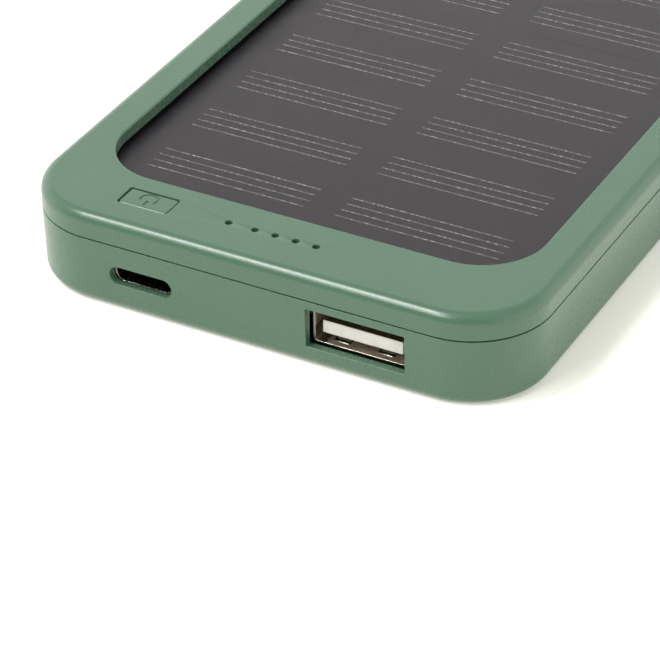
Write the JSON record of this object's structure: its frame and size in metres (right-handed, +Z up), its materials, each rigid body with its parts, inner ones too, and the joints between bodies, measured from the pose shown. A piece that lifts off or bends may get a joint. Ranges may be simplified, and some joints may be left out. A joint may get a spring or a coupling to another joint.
{
  "type": "solar phone charger",
  "caption": "Flat pocket power bank in a two-part moulded case, with a solar panel in its top, a recessed power key, charge lights and two charging ports.",
  "frame": {"origin": "middle of the flat underside, under the centre of the bounding box", "axes": "+Z up out of the solar panel, -Y out of the end with the ports, +X to the right when looking at the ports"},
  "size_m": [0.0706, 0.1424, 0.013],
  "materials": {
    "case_green": "satin moulded plastic with a fine spark texture",
    "black_plastic": "matte moulded plastic",
    "white_plastic": "smooth moulded plastic",
    "panel_film": "satin laminate over dark cells",
    "silicon": "dark mono-crystalline cells with silver fingers",
    "panel_board": "matte solder mask",
    "circuit_board": "green solder mask",
    "black_tape": "matte foam tape",
    "white_tape": "matte foam tape",
    "connector_steel": "bright nickel-plated steel",
    "gold_contact": "gold plating",
    "nickel": "plain nickel plating",
    "pouch_foil": "satin laminated foil",
    "led_lens": "pale epoxy lens",
    "ceramic": "fired ceramic",
    "ferrite": "dull ferrite",
    "lead_red": "smooth insulation",
    "lead_black": "smooth insulation"
  },
  "bodies": {
    "case": {"bottom_cover": "case_green", "top_cover": "case_green", "tact_switch_body": "black_plastic", "light_shroud": "black_plastic", "main_board": "circuit_board", "board_screw_left": "nickel", "board_screw_right": "nickel", "charge_controller_chip": "black_plastic", "capacitor_1": "ceramic", "capacitor_2": "ceramic", "boost_inductor": "ferrite", "usb_a_shell": "connector_steel", "usb_a_tongue": "white_plastic", "usb_c_shell": "connector_steel", "usb_c_tongue": "black_plastic", "battery_cell": "pouch_foil", "battery_adhesive_pad": "white_tape", "protection_board": "circuit_board", "battery_tab_positive": "nickel", "battery_tab_negative": "nickel", "battery_lead_red": "lead_red", "battery_lead_black": "lead_black", "solar_lead_red": "lead_red", "solar_lead_black": "lead_black", "solar_tape": "black_tape", "solar_film": "panel_film", "solar_board": "panel_board", "led_1": "led_lens", "led_2": "led_lens", "led_3": "led_lens", "led_4": "led_lens", "led_5": "led_lens", "usb_a_contact_1": "gold_contact", "usb_a_contact_2": "gold_contact", "usb_a_contact_3": "gold_contact", "usb_a_contact_4": "gold_contact", "solar_cell_left_01": "silicon", "solar_cell_left_02": "silicon", "solar_cell_left_03": "silicon", "solar_cell_left_04": "silicon", "solar_cell_left_05": "silicon", "solar_cell_left_06": "silicon", "solar_cell_left_07": "silicon", "solar_cell_left_08": "silicon", "solar_cell_left_09": "silicon", "solar_cell_left_10": "silicon", "solar_cell_right_01": "silicon", "solar_cell_right_02": "silicon", "solar_cell_right_03": "silicon", "solar_cell_right_04": "silicon", "solar_cell_right_05": "silicon", "solar_cell_right_06": "silicon", "solar_cell_right_07": "silicon", "solar_cell_right_08": "silicon", "solar_cell_right_09": "silicon", "solar_cell_right_10": "silicon"},
    "power_key": {"power_button": "case_green"},
    "switch_plunger": {"tact_switch_plunger": "white_plastic"}
  },
  "joints": [
    {"name": "power_key_press", "type": "slide", "parent": "case", "child": "power_key", "axis": [0, 0, 1], "range_m": [-0.0003, 0], "stiffness_N_per_m": 3000},
    {"name": "switch_plunger_press", "type": "slide", "parent": "case", "child": "switch_plunger", "axis": [0, 0, 1], "range_m": [-0.0003, 0]}
  ],
  "couplings": [
    {"joint": "switch_plunger_press", "follows": "power_key_press", "ratio": 1}
  ]
}
